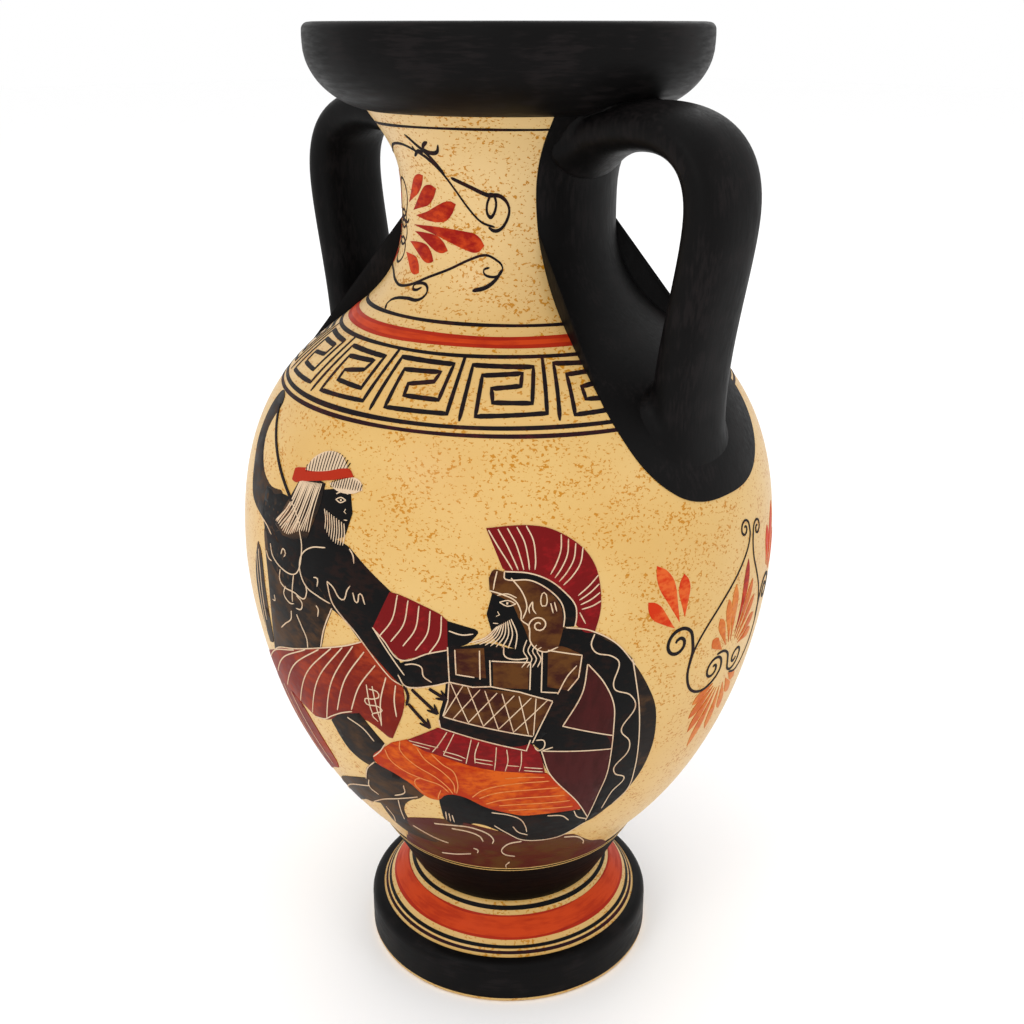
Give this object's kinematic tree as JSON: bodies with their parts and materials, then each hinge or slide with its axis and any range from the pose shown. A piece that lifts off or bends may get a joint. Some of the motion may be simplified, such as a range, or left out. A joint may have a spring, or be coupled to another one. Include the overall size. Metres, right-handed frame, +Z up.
{
  "type": "amphora",
  "caption": "Two-handled clay amphora on a turned foot, with a wide mouth, painted in black-figure style as a decorative vase.",
  "frame": {"origin": "on the vessel's axis, at the plane the foot stands on", "axes": "+Z up along the turned axis, handles on +X and -X, painted front faces -Y"},
  "size_m": [0.1546, 0.1546, 0.28],
  "materials": {
    "buff_clay": "burnished satin with ochre flecks",
    "black_slip": "satin black slip with brush marks",
    "foot_slip": "banded slips, bare clay resting edge",
    "raw_clay": "unglazed, matte",
    "figure_paint": "satin black slip painted and incised",
    "red_paint": "added red slip, satin",
    "orange_paint": "added orange slip, satin"
  },
  "bodies": {
    "root": {"foot": "foot_slip", "stem": "black_slip", "lower_belly": "buff_clay", "shoulder": "buff_clay", "neck": "buff_clay", "mouth": "black_slip", "belly_seam_coil": "raw_clay", "neck_seam_coil": "raw_clay", "right_handle": "black_slip", "left_handle": "black_slip", "right_handle_top_pad": "black_slip", "right_handle_base_pad": "black_slip", "left_handle_top_pad": "black_slip", "left_handle_base_pad": "black_slip"}
  },
  "joints": []
}
